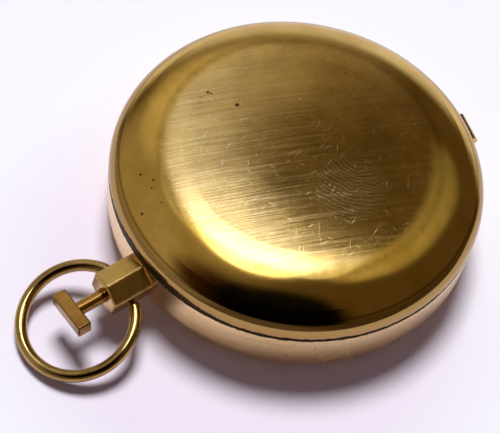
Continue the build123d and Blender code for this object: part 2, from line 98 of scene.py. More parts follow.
def handled_brass(name, bright, dull, hairline_size, gloss=(0.10, 0.2), edge=0.1 * mm, seam_darkness=0.0):
    """Polished brass that has been handled: a warm mirror, clouded by bloom and drawn over with hairlines.

    bright and dull are the two tones that the bloom mixes, and gloss is the roughness of each. hairline_size is a
    hairline's extent along X, Y and Z: a real one is a hundredth of a millimetre wide, and these are drawn as
    coarse as the picture needs. edge is the radius that buffing left on the corners, and the last argument is how
    black the painted shade is along the seam under the lid.
    """
    bloom_size, fleck_size, hairline_depth = 6 * mm, 0.5 * mm, 0.004 * mm
    seam_shade_full, seam_shade_end, seam_shade_dulling = 0.55 * mm, 0.7 * mm, 0.5
    material, tree, shader, place = open_material(name)
    bloom = add(
        tree, "ShaderNodeTexNoise", {"Vector": place, "Scale": 1 / bloom_size, "Detail": 4.0, "Roughness": 0.6}
    ).outputs["Fac"]
    cloud = add(tree, "ShaderNodeMapRange", {"Value": bloom, "From Min": 0.35, "From Max": 0.68}).outputs["Result"]
    drawn = add(
        tree, "ShaderNodeMapping", {"Vector": place, "Scale": hairline_size}, vector_type="TEXTURE"
    ).outputs["Vector"]
    hairline = add(tree, "ShaderNodeTexNoise", {"Vector": drawn, "Scale": 1.0, "Detail": 2.0}).outputs["Fac"]
    lined = add(
        tree, "ShaderNodeMapRange", {"Value": hairline, "From Min": 0.6, "From Max": 0.75, "To Max": 0.35}
    ).outputs["Result"]
    speckle = add(tree, "ShaderNodeTexNoise", {"Vector": place, "Scale": 1 / fleck_size, "Detail": 2.0}).outputs["Fac"]
    fleck = add(tree, "ShaderNodeMapRange", {"Value": speckle, "From Min": 0.71, "From Max": 0.76}).outputs["Result"]
    # Painted shade: a ragged black line along the seam under the lid, which also dulls the gloss there.
    height = add(tree, "ShaderNodeSeparateXYZ", {"Vector": place}).outputs["Z"]
    rag = add(tree, "ShaderNodeMath", {0: speckle, 1: seam_shade_reach}, operation="MULTIPLY").outputs["Value"]
    depth = add(tree, "ShaderNodeMath", {0: height, 1: seam_height}, operation="SUBTRACT").outputs["Value"]
    off_seam = add(tree, "ShaderNodeMath", {0: depth}, operation="ABSOLUTE").outputs["Value"]
    ragged = add(tree, "ShaderNodeMath", {0: off_seam, 1: rag}, operation="ADD").outputs["Value"]
    seam_shade = add(
        tree,
        "ShaderNodeMapRange",
        {"Value": ragged, "From Min": seam_shade_full, "From Max": seam_shade_end, "To Min": seam_darkness, "To Max": 0.0},
    ).outputs["Result"]
    tone = srgb(bright)
    for share, colour in ((cloud, dull), (lined, "6B4A1C"), (fleck, "3A2408"), (seam_shade, "1E1208")):
        tone = add(
            tree, "ShaderNodeMixRGB", {"Fac": share, "Color1": tone, "Color2": srgb(colour)}
        ).outputs["Color"]
    tree.links.new(tone, shader.inputs["Base Color"])
    shader.inputs["Metallic"].default_value = 1.0
    sheen = add(
        tree, "ShaderNodeMapRange", {"Value": cloud, "To Min": gloss[0], "To Max": gloss[1]}
    ).outputs["Result"]
    dulled = add(
        tree, "ShaderNodeMath", {0: seam_shade, 1: seam_shade_dulling, 2: sheen}, operation="MULTIPLY_ADD"
    ).outputs["Value"]
    tree.links.new(dulled, shader.inputs["Roughness"])
    soft_edge = add(tree, "ShaderNodeBevel", {"Radius": edge}, samples=8).outputs["Normal"]
    relief = add(
        tree,
        "ShaderNodeBump",
        {"Height": hairline, "Distance": hairline_depth, "Strength": 0.6, "Normal": soft_edge},
    ).outputs["Normal"]
    tree.links.new(relief, shader.inputs["Normal"])
    return material


# The case's pale tones are partly painted light, and its last argument sets how black the seam's painted shade is.
buffed_brass = handled_brass(
    "buffed_brass", "F8D89E", "EAC88A", (14 * mm, 14 * mm, 0.16 * mm), gloss=(0.2, 0.3), seam_darkness=0.92
)
dress(buffed_brass, "case_body")

# Chamber: a ring that carries the dial and the glass, the bezel that holds the glass down, and the small
# turned fittings beside it. All are clean brass from the lathe, whose fine concentric tool marks catch the
# light as thin rings.
tool_mark = 0.22 * mm
tool_mark_depth = 0.006 * mm
lathe_stain = 5 * mm
turned_brass, tree, shader, place = open_material("turned_brass")
flat_place = add(tree, "ShaderNodeVectorMath", {0: place, 1: (1, 1, 0)}, operation="MULTIPLY").outputs["Vector"]
radius = add(tree, "ShaderNodeVectorMath", {0: flat_place}, operation="LENGTH").outputs["Value"]
tool_marks = add(
    tree, "ShaderNodeTexNoise", {"W": radius, "Scale": 1 / tool_mark, "Detail": 2.0}, noise_dimensions="1D"
).outputs["Fac"]
stain = add(tree, "ShaderNodeTexNoise", {"Vector": place, "Scale": 1 / lathe_stain, "Detail": 3.0}).outputs["Fac"]
lathe_tone = add(tree, "ShaderNodeMixRGB", {"Fac": stain, "Color1": srgb("E2BC78"), "Color2": srgb("C79A55")})
tree.links.new(lathe_tone.outputs["Color"], shader.inputs["Base Color"])
shader.inputs["Metallic"].default_value = 1.0
lathe_gloss = add(tree, "ShaderNodeMapRange", {"Value": tool_marks, "To Min": 0.16, "To Max": 0.36})
tree.links.new(lathe_gloss.outputs["Result"], shader.inputs["Roughness"])
lathe_relief = add(tree, "ShaderNodeBump", {"Height": tool_marks, "Distance": tool_mark_depth, "Strength": 0.7})
tree.links.new(lathe_relief.outputs["Normal"], shader.inputs["Normal"])
dress(turned_brass, "chamber_ring", "bezel", "pivot_post", "needle_hub")
dress(turned_brass, "lifter_bridge", "lifter_pin", "catch_keeper", "plunger_collar")

# Dial: a thin disc under three screws in the chamber ring, enamelled cream and printed in dark ink with a degree
# ring, a rose, the four points and the degrees by thirties. Fired enamel shows a soft gloss, fine speckle and
# yellow ageing; the ink stands up a little and is nearly matt.
dial_top = 4.2 * mm
enamel_speckle = 0.25 * mm
enamel_ageing = 8 * mm
enamel_depth = 0.004 * mm
fired_enamel, tree, shader, place = open_material("fired_enamel")
speckle = add(tree, "ShaderNodeTexNoise", {"Vector": place, "Scale": 1 / enamel_speckle, "Detail": 3.0}).outputs["Fac"]
ageing = add(tree, "ShaderNodeTexNoise", {"Vector": place, "Scale": 1 / enamel_ageing, "Detail": 4.0}).outputs["Fac"]
cream = add(tree, "ShaderNodeMixRGB", {"Fac": ageing, "Color1": srgb("EFE9D6"), "Color2": srgb("DDD2B4")})
speckled = add(tree, "ShaderNodeMapRange", {"Value": speckle, "From Min": 0.6, "From Max": 0.8, "To Max": 0.4})
enamel_tone = add(
    tree,
    "ShaderNodeMixRGB",
    {"Fac": speckled.outputs["Result"], "Color1": cream.outputs["Color"], "Color2": srgb("C9B98F")},
)
tree.links.new(enamel_tone.outputs["Color"], shader.inputs["Base Color"])
enamel_gloss = add(tree, "ShaderNodeMapRange", {"Value": ageing, "To Min": 0.28, "To Max": 0.45})
tree.links.new(enamel_gloss.outputs["Result"], shader.inputs["Roughness"])
enamel_relief = add(tree, "ShaderNodeBump", {"Height": speckle, "Distance": enamel_depth, "Strength": 0.4})
tree.links.new(enamel_relief.outputs["Normal"], shader.inputs["Normal"])
dress(fired_enamel, "dial_plate")

ink_height = 0.02 * mm
ink_blot = 0.3 * mm
ring_outer = 17.5 * mm
ring_line = 0.15 * mm
inner_circle, inner_line = 9.4 * mm, 0.1 * mm
point_reach, point_size = 11.3 * mm, 3.2 * mm
number_reach, number_size = 14.2 * mm, 1.5 * mm


def turn_points(angles, radii):
    """Points level with the dial's face: X is the radius times the sine of the compass angle, Y times its cosine."""
    spin = np.radians(angles)
    return np.stack([radii * np.sin(spin), radii * np.cos(spin), np.full_like(spin, dial_top)], axis=-1)


def degree_ticks():
    """One quad for every five degrees: two points out and two points in, half a tick's width each side."""
    angles = np.arange(0.0, 360.0, 5.0)
    length = np.where(angles % 30 == 0, 2.2, np.where(angles % 10 == 0, 1.6, 0.9)) * mm
    half = np.degrees(np.where(angles % 30 == 0, 0.12, 0.07) * mm / ring_outer)
    outer, inner = np.full_like(angles, ring_outer), ring_outer - length
    corners = [(angles - half, outer), (angles - half, inner), (angles + half, inner), (angles + half, outer)]
    points = np.stack([turn_points(a, r) for a, r in corners], axis=1).reshape(-1, 3)
    return points, np.arange(len(points)).reshape(-1, 4)


def ink_circle(outer, width, steps=180):
    """A flat ring as a grid of two circles by steps, closed on itself."""
    angles = np.linspace(0.0, 360.0, steps, endpoint=False)
    points = np.concatenate([turn_points(angles, np.full(steps, r)) for r in (outer, outer - width)])
    here = np.arange(steps)
    ahead = (here + 1) % steps
    return points, np.stack([here, here + steps, ahead + steps, ahead], axis=1)


def rose_halves():
    """Eight long triangles: from each tip in to the notch on one side and to the foot of the point."""
    angles = np.arange(0.0, 360.0, 45.0)
    tips = turn_points(angles, np.where(angles % 90 == 0, 8.6, 6.0) * mm)
    notches = turn_points(angles + 22.5, np.full_like(angles, 2.7 * mm))
    feet = turn_points(angles, np.full_like(angles, 2.0 * mm))
    points = np.stack([tips, feet, notches], axis=1).reshape(-1, 3)
    return points, np.arange(len(points)).reshape(-1, 3)


def lettering(text, angle, reach, size):
    """A word of type as a flat mesh, moved out from the centre and turned so that its top points outwards."""
    type_curve = bpy.data.curves.new("type", "FONT")
    type_curve.body, type_curve.size, type_curve.resolution_u = text, size, 3
    type_curve.align_x, type_curve.align_y = "CENTER", "CENTER"
    holder = bpy.data.objects.new("type", type_curve)
    scene.collection.objects.link(holder)
    flat = bpy.data.meshes.new_from_object(holder)
    points = np.empty(len(flat.vertices) * 3)
    flat.vertices.foreach_get("co", points)
    corners = np.empty(len(flat.loops), dtype=np.int32)
    flat.loops.foreach_get("vertex_index", corners)
    face_starts = np.empty(len(flat.polygons), dtype=np.int32)
    flat.polygons.foreach_get("loop_start", face_starts)
    for spare in (holder, type_curve, flat):
        bpy.data.batch_remove([spare])
    turn = np.array(Matrix.Rotation(-math.radians(angle), 3, "Z"))
    return (points.reshape(-1, 3) + (0, reach, dial_top)) @ turn.T, np.split(corners, face_starts[1:])


print_marks = [degree_ticks(), ink_circle(ring_outer + ring_line, ring_line)]
print_marks += [ink_circle(inner_circle, inner_line), rose_halves()]
print_marks += [lettering(text, 90 * i, point_reach, point_size) for i, text in enumerate("NESW")]
print_marks += [lettering(str(angle), angle, number_reach, number_size) for angle in range(0, 360, 30)]
starts = np.cumsum([0] + [len(points) for points, _ in print_marks])
dial_print_mesh = bpy.data.meshes.new("dial_print")
dial_print_mesh.from_pydata(
    np.concatenate([points for points, _ in print_marks]).tolist(),
    [],
    [(face + start).tolist() for start, (_, faces) in zip(starts, print_marks) for face in faces],
)
dial_print = bpy.data.objects.new("dial_print", dial_print_mesh)
scene.collection.objects.link(dial_print)
ink_body = dial_print.modifiers.new("ink", "SOLIDIFY")
ink_body.thickness, ink_body.offset = ink_height, 1.0
printing_ink, tree, shader, place = open_material("printing_ink")
blot = add(tree, "ShaderNodeTexNoise", {"Vector": place, "Scale": 1 / ink_blot, "Detail": 3.0}).outputs["Fac"]
ink_tone = add(tree, "ShaderNodeMixRGB", {"Fac": blot, "Color1": srgb("1B1A1C"), "Color2": srgb("3A3532")})
tree.links.new(ink_tone.outputs["Color"], shader.inputs["Base Color"])
ink_gloss = add(tree, "ShaderNodeMapRange", {"Value": blot, "To Min": 0.45, "To Max": 0.65})
tree.links.new(ink_gloss.outputs["Result"], shader.inputs["Roughness"])
dial_print.data.materials.append(printing_ink)
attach(dial_print, "case")

# Pins and screws: drawn steel wire, cut and turned, for the hinge, the lever's axle, the needle's point and
# the screws. The steel is a clean cold grey with a little grime, and the drawing has left it finely rough.
steel_grime = 1.5 * mm
draw_mark, draw_mark_depth = 0.12 * mm, 0.004 * mm
drawn_steel, tree, shader, place = open_material("drawn_steel")
grime = add(tree, "ShaderNodeTexNoise", {"Vector": place, "Scale": 1 / steel_grime, "Detail": 4.0}).outputs["Fac"]
draw_marks = add(tree, "ShaderNodeTexNoise", {"Vector": place, "Scale": 1 / draw_mark, "Detail": 2.0}).outputs["Fac"]
steel_tone = add(tree, "ShaderNodeMixRGB", {"Fac": grime, "Color1": srgb("C6C6CA"), "Color2": srgb("8F8E90")})
tree.links.new(steel_tone.outputs["Color"], shader.inputs["Base Color"])
shader.inputs["Metallic"].default_value = 1.0
steel_gloss = add(tree, "ShaderNodeMapRange", {"Value": grime, "To Min": 0.18, "To Max": 0.4})
tree.links.new(steel_gloss.outputs["Result"], shader.inputs["Roughness"])
steel_relief = add(tree, "ShaderNodeBump", {"Height": draw_marks, "Distance": draw_mark_depth, "Strength": 0.5})
tree.links.new(steel_relief.outputs["Normal"], shader.inputs["Normal"])
dress(drawn_steel, "hinge_pin", "lifter_axle", "pivot_pin", "dial_screws", "spring_screws")

# Springs and lever: strips of tempered steel, brushed lengthwise and bent to shape. The springs are screwed to the
# case and the lever turns on its axle. They show straw-brown temper colour in places over a grey brushed ground.
temper_patch = 6 * mm
brush_line = (4 * mm, 4 * mm, 0.1 * mm)
brush_depth = 0.005 * mm
tempered_steel, tree, shader, place = open_material("tempered_steel")
temper = add(tree, "ShaderNodeTexNoise", {"Vector": place, "Scale": 1 / temper_patch, "Detail": 3.0}).outputs["Fac"]
brush_place = add(tree, "ShaderNodeMapping", {"Vector": place, "Scale": brush_line}, vector_type="TEXTURE")
brushing = add(
    tree, "ShaderNodeTexNoise", {"Vector": brush_place.outputs["Vector"], "Scale": 1.0, "Detail": 3.0}
).outputs["Fac"]
temper_tone = add(tree, "ShaderNodeMixRGB", {"Fac": temper, "Color1": srgb("A9A8AA"), "Color2": srgb("8C7F70")})
tree.links.new(temper_tone.outputs["Color"], shader.inputs["Base Color"])
shader.inputs["Metallic"].default_value = 1.0
brush_gloss = add(tree, "ShaderNodeMapRange", {"Value": brushing, "To Min": 0.22, "To Max": 0.5})
tree.links.new(brush_gloss.outputs["Result"], shader.inputs["Roughness"])
brush_relief = add(tree, "ShaderNodeBump", {"Height": brushing, "Distance": brush_depth, "Strength": 0.6})
tree.links.new(brush_relief.outputs["Normal"], shader.inputs["Normal"])
dress(tempered_steel, "catch_spring", "lift_spring", "lifter_lever")

# Needle: a flat steel blade riveted under a brass hub, its north arm heat-blued and its south arm left bright.
# The blue runs to violet where the heat was less, and polishing lines run along the arms.
heat_patch = 3 * mm
polish_line = (0.1 * mm, 5 * mm, 0.1 * mm)
polish_depth = 0.003 * mm
blue_starts, blue_full = -0.2 * mm, 0.3 * mm
blued_steel, tree, shader, place = open_material("blued_steel")
heat = add(tree, "ShaderNodeTexNoise", {"Vector": place, "Scale": 1 / heat_patch, "Detail": 3.0}).outputs["Fac"]
blue_tone = add(tree, "ShaderNodeMixRGB", {"Fac": heat, "Color1": srgb("1E3A8C"), "Color2": srgb("3B2A78")})
bright_tone = add(tree, "ShaderNodeMixRGB", {"Fac": heat, "Color1": srgb("D2D2D4"), "Color2": srgb("A8A7A8")})
along = add(tree, "ShaderNodeSeparateXYZ", {"Vector": place}).outputs["Y"]
north = add(tree, "ShaderNodeMapRange", {"Value": along, "From Min": blue_starts, "From Max": blue_full})
needle_tone = add(
    tree,
    "ShaderNodeMixRGB",
    {"Fac": north.outputs["Result"], "Color1": bright_tone.outputs["Color"], "Color2": blue_tone.outputs["Color"]},
)
tree.links.new(needle_tone.outputs["Color"], shader.inputs["Base Color"])
shader.inputs["Metallic"].default_value = 1.0
polish_place = add(tree, "ShaderNodeMapping", {"Vector": place, "Scale": polish_line}, vector_type="TEXTURE")
polish = add(
    tree, "ShaderNodeTexNoise", {"Vector": polish_place.outputs["Vector"], "Scale": 1.0, "Detail": 2.0}
).outputs["Fac"]
needle_gloss = add(tree, "ShaderNodeMapRange", {"Value": polish, "To Min": 0.14, "To Max": 0.34})
tree.links.new(needle_gloss.outputs["Result"], shader.inputs["Roughness"])
needle_relief = add(tree, "ShaderNodeBump", {"Height": polish, "Distance": polish_depth, "Strength": 0.5})
tree.links.new(needle_relief.outputs["Normal"], shader.inputs["Normal"])
dress(blued_steel, "needle_blade")

# Cup jewel: a small polished red stone pressed into the hub, which runs on the steel point.
# Light goes into it, so it glows a deep red rather than showing a flat colour.
inclusion_size = 0.2 * mm
cut_garnet, tree, shader, place = open_material("cut_garnet")
inclusion = add(
    tree, "ShaderNodeTexNoise", {"Vector": place, "Scale": 1 / inclusion_size, "Detail": 2.0}
).outputs["Fac"]
red_tone = add(tree, "ShaderNodeMixRGB", {"Fac": inclusion, "Color1": srgb("A51E2E"), "Color2": srgb("6E0F1C")})
tree.links.new(red_tone.outputs["Color"], shader.inputs["Base Color"])
jewel_gloss = add(tree, "ShaderNodeMapRange", {"Value": inclusion, "To Min": 0.03, "To Max": 0.1})
tree.links.new(jewel_gloss.outputs["Result"], shader.inputs["Roughness"])
shader.inputs["IOR"].default_value = 1.77
shader.inputs["Transmission Weight"].default_value = 0.6
dress(cut_garnet, "needle_jewel")

# Glass: a flat disc of clear sheet glass with a ground edge, held down by the bezel.
# It is clear with a trace of green, and faint smears from cleaning dull its reflections in places.
smear_size = 7 * mm
sheet_glass, tree, shader, place = open_material("sheet_glass")
smear = add(tree, "ShaderNodeTexNoise", {"Vector": place, "Scale": 1 / smear_size, "Detail": 4.0}).outputs["Fac"]
glass_gloss = add(
    tree,
    "ShaderNodeMapRange",
    {"Value": smear, "From Min": 0.45, "From Max": 0.75, "To Min": 0.01, "To Max": 0.07},
)
tree.links.new(glass_gloss.outputs["Result"], shader.inputs["Roughness"])
shader.inputs["Base Color"].default_value = srgb("F4F9F6")
shader.inputs["IOR"].default_value = 1.5
shader.inputs["Transmission Weight"].default_value = 1.0
dress(sheet_glass, "glass")

# Lid: a dome pressed from brass sheet, trued on the lathe, buffed and hinged. The shoulder is still a mirror.
# Pockets have rubbed the crown: hairlines along one direction on the pendant's side, short nicks all over, a
# finger's print and a few black pits. The inside, which faces down, shows the lathe's fine rings.
scratched_brass, tree, shader, place = open_material("scratched_brass")
facing = add(tree, "ShaderNodeTexCoord").outputs["Normal"]
facing_up = add(tree, "ShaderNodeSeparateXYZ", {"Vector": facing}).outputs["Z"]
outside = add(
    tree, "ShaderNodeMapRange", {"Value": facing_up, "From Min": -0.35, "From Max": -0.05}
).outputs["Result"]
flat_place = add(tree, "ShaderNodeVectorMath", {0: place, 1: (1, 1, 0)}, operation="MULTIPLY").outputs["Vector"]
radius = add(tree, "ShaderNodeVectorMath", {0: flat_place}, operation="LENGTH").outputs["Value"]
height = add(tree, "ShaderNodeSeparateXYZ", {"Vector": place}).outputs["Z"]

# The rubbed crown ends in a ragged edge 18 mm out.
crown_radius = 18.0 * mm
crown_rag = 1.76 * mm
rag_size = 0.9 * mm
rag = add(
    tree, "ShaderNodeTexNoise", {"Vector": place, "Scale": 1 / rag_size, "Detail": 4.0, "Roughness": 0.7}
).outputs["Fac"]
wandering = add(tree, "ShaderNodeMath", {0: rag, 1: crown_rag, 2: radius}, operation="MULTIPLY_ADD").outputs["Value"]
crown_top = add(
    tree,
    "ShaderNodeMapRange",
    {
        "Value": wandering, "From Min": crown_radius, "From Max": crown_radius + crown_rag,
        "To Min": 1.0, "To Max": 0.0,
    },
    interpolation_type="SMOOTHSTEP",
).outputs["Result"]
crown = add(tree, "ShaderNodeMath", {0: crown_top, 1: outside}, operation="MULTIPLY").outputs["Value"]

# Hairlines: 10 mm long and from 0.22 mm to 0.03 mm wide, coarser than real ones so that they show. They lie along
# the way the lid rubbed, and fade out across the crown: all over on the pendant's side, few on the far side.
hairline_size = (10 * mm, 0.22 * mm, 10 * mm)
wear_way = math.radians(66.6)
fade_turn = math.radians(252.0)
fade_way = (math.cos(fade_turn), math.sin(fade_turn), 0)
fade_starts, fade_ends = -15 * mm, 9 * mm
most_rubbed, least_rubbed, scuff_sheen_strength = 1.15, 0.12, 0.17
hair_place = add(
    tree,
    "ShaderNodeMapping",
    {"Vector": place, "Rotation": (0, 0, wear_way), "Scale": hairline_size},
    vector_type="TEXTURE",
).outputs["Vector"]
hairline = add(
    tree, "ShaderNodeTexNoise", {"Vector": hair_place, "Scale": 1.0, "Detail": 4.0, "Roughness": 0.62}
).outputs["Fac"]
across = add(tree, "ShaderNodeVectorMath", {0: place, 1: fade_way}, operation="DOT_PRODUCT").outputs["Value"]
rubbed = add(
    tree,
    "ShaderNodeMapRange",
    {
        "Value": across, "From Min": fade_starts, "From Max": fade_ends,
        "To Min": most_rubbed, "To Max": least_rubbed,
    },
    interpolation_type="SMOOTHSTEP",
).outputs["Result"]
scuffed = add(tree, "ShaderNodeMath", {0: rubbed, 1: crown}, operation="MULTIPLY").outputs["Value"]
dark_hair = add(
    tree, "ShaderNodeMapRange", {"Value": hairline, "From Min": 0.34, "From Max": 0.5, "To Min": 0.14, "To Max": 0.0}
).outputs["Result"]
# Painted sheen: the light hairlines are given a paler tone, standing in for the lamp's light that they scatter.
hairline_sheen = add(
    tree, "ShaderNodeMapRange", {"Value": hairline, "From Min": 0.5, "From Max": 0.7, "To Max": 0.3}
).outputs["Result"]
dark_share = add(tree, "ShaderNodeMath", {0: dark_hair, 1: scuffed}, operation="MULTIPLY").outputs["Value"]
hairline_sheen_share = add(tree, "ShaderNodeMath", {0: hairline_sheen, 1: scuffed}, operation="MULTIPLY").outputs["Value"]
# Painted sheen: a pale tone over the whole rubbed side, standing in for the glow of the light that the hairlines
# scatter.
scuff_sheen = add(tree, "ShaderNodeMath", {0: scuffed, 1: scuff_sheen_strength}, operation="MULTIPLY").outputs["Value"]

# Nicks: short scratches in four directions, thinly spread and drawn wider than real ones so that they show
# (turn in degrees, length and width in mm).
nick_drop = 9 * mm
nick_glint_strength = 0.34
nicks = None
for turn, length, width in ((112, 2.6, 0.18), (84, 2.0, 0.17), (20, 1.6, 0.17), (140, 2.0, 0.17)):
    nick_place = add(
        tree,
        "ShaderNodeMapping",
        {
            "Vector": place,
            "Location": (0.7 * length * mm, 0, 0),
            "Rotation": (0, 0, math.radians(turn)),
            "Scale": (length * mm, width * mm, nick_drop),
        },
        vector_type="TEXTURE",
    ).outputs["Vector"]
    nick_noise = add(tree, "ShaderNodeTexNoise", {"Vector": nick_place, "Scale": 1.0, "Detail": 1.0}).outputs["Fac"]
    nick = add(
        tree, "ShaderNodeMapRange", {"Value": nick_noise, "From Min": 0.685, "From Max": 0.84}
    ).outputs["Result"]
    if nicks is None:
        nicks = nick
    else:
        nicks = add(tree, "ShaderNodeMath", {0: nicks, 1: nick}, operation="MAXIMUM").outputs["Value"]
nicked = add(tree, "ShaderNodeMath", {0: nicks, 1: crown}, operation="MULTIPLY").outputs["Value"]
# Painted glint: the nicks' pale tone stands in for light caught on their sides; the cuts themselves are in the relief.
nick_glint = add(tree, "ShaderNodeMath", {0: nicked, 1: nick_glint_strength}, operation="MULTIPLY").outputs["Value"]

# Finger's print: ridges half a millimetre apart that curl round a core, about 11 mm across with a ragged edge.
# The wave node's phase is 20 times its scale times the distance from the core, and a full turn makes one ridge.
print_centre = (-8.0 * mm, -1.4 * mm, 0)
print_core = (-4.2 * mm, -6.5 * mm, 0)
print_reach = 5.4 * mm
print_rag = 3 * mm
print_strength = 0.6
print_inner, print_outer = print_reach - 1.2 * mm, print_reach + 2 * mm
ridge_spacing = 0.55 * mm
ridge_scale = 2 * math.pi / (20 * ridge_spacing)
print_place = add(tree, "ShaderNodeVectorMath", {0: flat_place, 1: print_core}, operation="SUBTRACT").outputs["Vector"]
ridges = add(
    tree,
    "ShaderNodeTexWave",
    {"Vector": print_place, "Scale": ridge_scale, "Distortion": 9.0, "Detail": 3.0, "Detail Scale": 0.8},
    wave_type="RINGS",
    rings_direction="Z",
).outputs["Fac"]
print_gap = add(tree, "ShaderNodeVectorMath", {0: flat_place, 1: print_centre}, operation="DISTANCE").outputs["Value"]
print_ragged = add(
    tree, "ShaderNodeMath", {0: rag, 1: print_rag, 2: print_gap}, operation="MULTIPLY_ADD"
).outputs["Value"]
in_print = add(
    tree,
    "ShaderNodeMapRange",
    {"Value": print_ragged, "From Min": print_inner, "From Max": print_outer, "To Min": 1.0, "To Max": 0.0},
    interpolation_type="SMOOTHSTEP",
).outputs["Result"]
printed = add(tree, "ShaderNodeMath", {0: ridges, 1: in_print}, operation="MULTIPLY").outputs["Value"]
print_share = add(tree, "ShaderNodeMath", {0: printed, 1: print_strength}, operation="MULTIPLY").outputs["Value"]

# Bloom and tarnish: an olive cloud all over, and browner patches on the crown.
bloom_size, tarnish_size = 6 * mm, 8 * mm
bloom = add(
    tree, "ShaderNodeTexNoise", {"Vector": place, "Scale": 1 / bloom_size, "Detail": 5.0, "Roughness": 0.6}
).outputs["Fac"]
cloud = add(tree, "ShaderNodeMapRange", {"Value": bloom, "From Min": 0.36, "From Max": 0.66}).outputs["Result"]
tarnish = add(
    tree, "ShaderNodeTexNoise", {"Vector": place, "Scale": 1 / tarnish_size, "Detail": 5.0, "Roughness": 0.62}
).outputs["Fac"]
tarnished = add(
    tree, "ShaderNodeMapRange", {"Value": tarnish, "From Min": 0.46, "From Max": 0.66, "To Max": 0.42}
).outputs["Result"]
tarnish_share = add(tree, "ShaderNodeMath", {0: tarnished, 1: crown}, operation="MULTIPLY").outputs["Value"]

# Lines that go round: a ragged dark one at the crown's edge, the browner rim, darkened as painted shade for the
# shaded table that it mirrors, and a dark line of painted shade in the crease above the rim.
crown_line = 18.5 * mm
rim_top = 11.62 * mm
crease_height = rim_top + 0.12 * mm
edge_gap = add(tree, "ShaderNodeMath", {0: radius, 1: crown_line}, operation="SUBTRACT").outputs["Value"]
edge_off = add(tree, "ShaderNodeMath", {0: edge_gap}, operation="ABSOLUTE").outputs["Value"]
edge_soft = add(
    tree,
    "ShaderNodeMapRange",
    {"Value": edge_off, "From Min": 0.1 * mm, "From Max": 0.9 * mm, "To Min": 0.55, "To Max": 0.0},
    interpolation_type="SMOOTHSTEP",
).outputs["Result"]
edge_share = add(tree, "ShaderNodeMath", {0: edge_soft, 1: rag}, operation="MULTIPLY").outputs["Value"]
rim_shade = add(
    tree,
    "ShaderNodeMapRange",
    {"Value": height, "From Min": rim_top - 0.15 * mm, "From Max": rim_top, "To Min": 1.0, "To Max": 0.0},
).outputs["Result"]
crease_gap = add(tree, "ShaderNodeMath", {0: height, 1: crease_height}, operation="SUBTRACT").outputs["Value"]
crease_off = add(tree, "ShaderNodeMath", {0: crease_gap}, operation="ABSOLUTE").outputs["Value"]
crease_shade = add(
    tree,
    "ShaderNodeMapRange",
    {"Value": crease_off, "From Min": 0.05 * mm, "From Max": 0.2 * mm, "To Min": 0.6, "To Max": 0.0},
).outputs["Result"]

# Pits: small black spots where the brass has corroded, each at its own place on the dome (X, Y and size in mm).
pits = [(14.1, 5.11, 0.2), (13.75, 4.85, 0.15), (10.21, 3.2, 0.28), (13.94, 6.47, 0.1), (8.85, 19.33, 0.16)]
pits += [(7.01, 18.64, 0.16), (6.17, 19.45, 0.12), (4.16, 22.23, 0.18), (3.69, 19.69, 0.1), (6.89, -12.48, 0.12)]
pit_shares = []
for x, y, size in pits:
    gap = add(
        tree, "ShaderNodeVectorMath", {0: flat_place, 1: (x * mm, y * mm, 0)}, operation="DISTANCE"
    ).outputs["Value"]
    spot = add(
        tree,
        "ShaderNodeMapRange",
        {"Value": gap, "From Min": 0.6 * size * mm, "From Max": 1.3 * size * mm, "To Min": 0.95, "To Max": 0.0},
    ).outputs["Result"]
    pit_shares.append(add(tree, "ShaderNodeMath", {0: spot, 1: outside}, operation="MULTIPLY").outputs["Value"])

# Painted shade: a ragged black line along the seam, which spreads up round the pendant's root.
pendant_root = (0, 25 * mm, seam_height)
root_near, root_far, root_spread = 4 * mm, 15 * mm, 0.75 * mm
seam_shade_full, seam_shade_end = 0.78 * mm, 0.94 * mm
off_seam = add(tree, "ShaderNodeMath", {0: height, 1: seam_height}, operation="SUBTRACT").outputs["Value"]
seam_ragged = add(
    tree, "ShaderNodeMath", {0: rag, 1: 2 * seam_shade_reach, 2: off_seam}, operation="MULTIPLY_ADD"
).outputs["Value"]
root_gap = add(tree, "ShaderNodeVectorMath", {0: place, 1: pendant_root}, operation="DISTANCE").outputs["Value"]
root_shade = add(
    tree,
    "ShaderNodeMapRange",
    {"Value": root_gap, "From Min": root_near, "From Max": root_far, "To Min": root_spread, "To Max": 0.0},
).outputs["Result"]
seam_spread = add(tree, "ShaderNodeMath", {0: seam_ragged, 1: root_shade}, operation="SUBTRACT").outputs["Value"]
seam_shade = add(
    tree,
    "ShaderNodeMapRange",
    {"Value": seam_spread, "From Min": seam_shade_full, "From Max": seam_shade_end, "To Min": 0.92, "To Max": 0.0},
).outputs["Result"]

# Tones: golden brass, and over it each of these marks in turn. The pale scuff, the nicks' pale tone and the light
# hairlines are painted sheen, and the rim's brown, the crease's line and the seam's black are painted shade.
layers = [(cloud, "C09642"), (tarnish_share, "94702E"), (scuff_sheen, "EFE3C4"), (nick_glint, "F6E6BC")]
layers += [(dark_share, "7E5F28"), (hairline_sheen_share, "F0E2BC"), (print_share, "E8D6A6"), (edge_share, "6A5124")]
# The rim's brown and the crease's dark line are painted shade.
layers += [(rim_shade, "A8854F"), (crease_shade, "5A3E18")]
layers += [(pit_share, "1A0F05") for pit_share in pit_shares]
# The seam's black line is painted shade.
layers += [(seam_shade, "1A0F07")]
tone = srgb("D6AC58")
for share, colour in layers:
    tone = add(tree, "ShaderNodeMixRGB", {"Fac": share, "Color1": tone, "Color2": srgb(colour)}).outputs["Color"]
tree.links.new(tone, shader.inputs["Base Color"])
shader.inputs["Metallic"].default_value = 1.0

